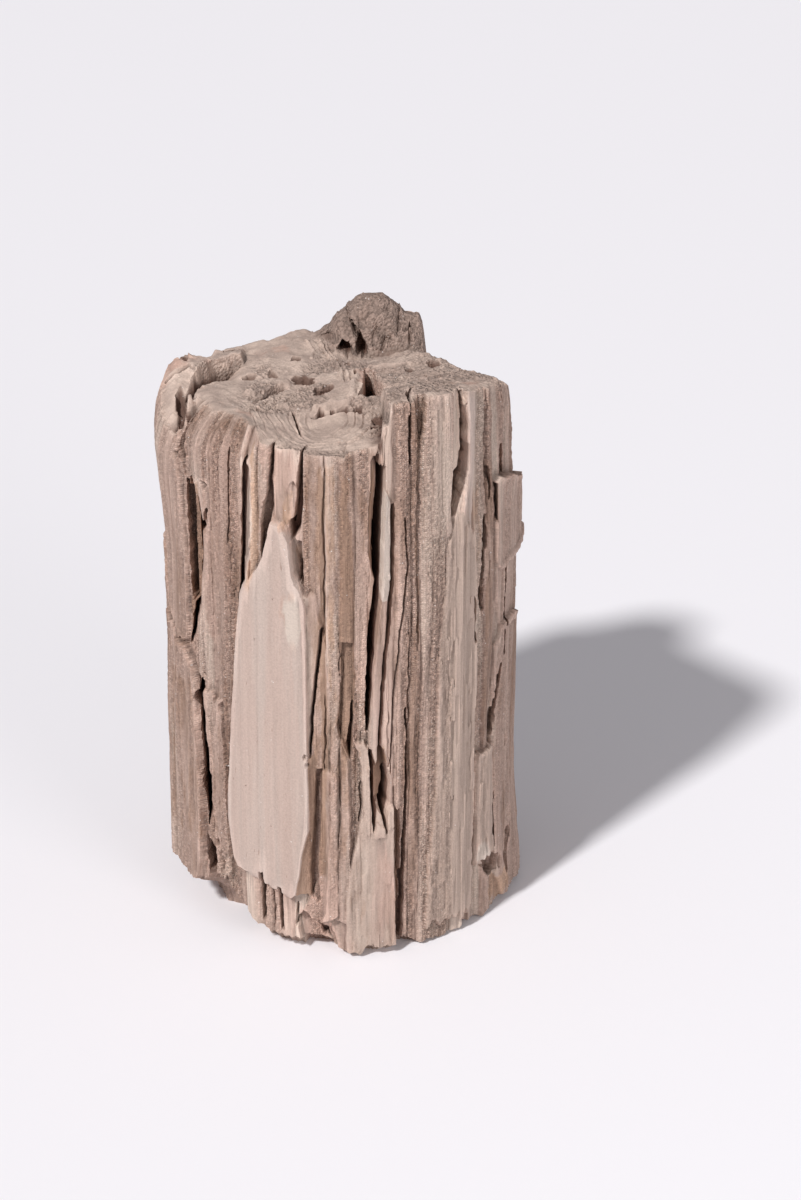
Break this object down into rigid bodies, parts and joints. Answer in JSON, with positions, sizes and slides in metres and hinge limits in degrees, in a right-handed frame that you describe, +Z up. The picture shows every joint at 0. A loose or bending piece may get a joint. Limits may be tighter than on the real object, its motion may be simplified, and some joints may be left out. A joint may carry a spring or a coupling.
{
  "type": "petrified wood log",
  "caption": "Short upright log of petrified wood, split into cracked and pitted upright columns and slabs, with a broken, stepped top and a flat cut foot.",
  "frame": {"origin": "on the plane of the cut foot, under the middle of the log's bounding box", "axes": "+Z up the trunk, -Y towards the side with the great pale slab and the main crack, +X to that side's right"},
  "size_m": [0.2546, 0.23, 0.3958],
  "materials": {
    "petrified_wood": "dry, matt, weathered silica in cream, taupe and grey"
  },
  "bodies": {
    "root": {"petrified_log": "petrified_wood"}
  },
  "joints": []
}
